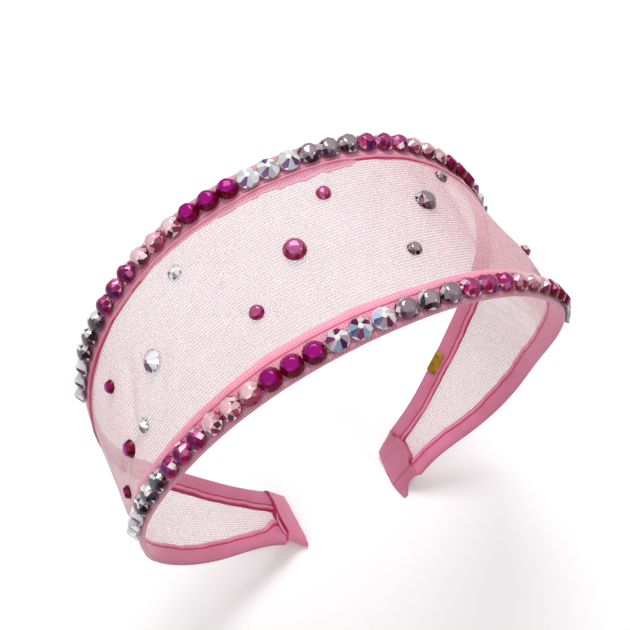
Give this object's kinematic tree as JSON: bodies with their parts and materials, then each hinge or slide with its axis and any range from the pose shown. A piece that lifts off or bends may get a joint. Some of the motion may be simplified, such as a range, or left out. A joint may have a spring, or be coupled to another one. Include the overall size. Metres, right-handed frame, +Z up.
{
  "type": "crystal mesh headband",
  "caption": "Wide net headband with satin-bound edges, a row of cut stones on each edge, single stones on the net and wrapped tips it stands on.",
  "frame": {"origin": "midway between the soles of the two tips, on the surface it stands on, at the middle of the bounding box's base", "axes": "+X from the wearer's right to the left, +Y from the front edge to the back edge, +Z up from the tips to the crown"},
  "size_m": [0.1234, 0.047, 0.1466],
  "materials": {
    "satin": "rose-pink satin ribbon",
    "net": "fine pale pink net",
    "tag": "mustard-gold foil",
    "crystal_mixed": "foil-backed cut glass in clear, grey-mauve, rose, light rose and fuchsia",
    "crystal_clear": "foil-backed clear cut glass with a faint rainbow coating",
    "crystal_rose": "foil-backed rose cut glass",
    "crystal_light_rose": "foil-backed light rose cut glass",
    "crystal_fuchsia": "foil-backed fuchsia cut glass",
    "crystal_greige": "foil-backed grey-mauve cut glass"
  },
  "bodies": {
    "root": {"front_binding": "satin", "back_binding": "satin", "mesh_panel": "net", "right_tip_wrap": "satin", "left_tip_wrap": "satin", "front_crystal_row": "crystal_mixed", "back_crystal_row": "crystal_mixed", "inner_tag": "tag", "crystal_01": "crystal_fuchsia", "crystal_02": "crystal_fuchsia", "crystal_03": "crystal_fuchsia", "crystal_04": "crystal_clear", "crystal_05": "crystal_clear", "crystal_06": "crystal_clear", "crystal_07": "crystal_rose", "crystal_08": "crystal_rose", "crystal_09": "crystal_rose", "crystal_10": "crystal_greige", "crystal_11": "crystal_greige", "crystal_12": "crystal_greige", "crystal_13": "crystal_light_rose"}
  },
  "joints": []
}
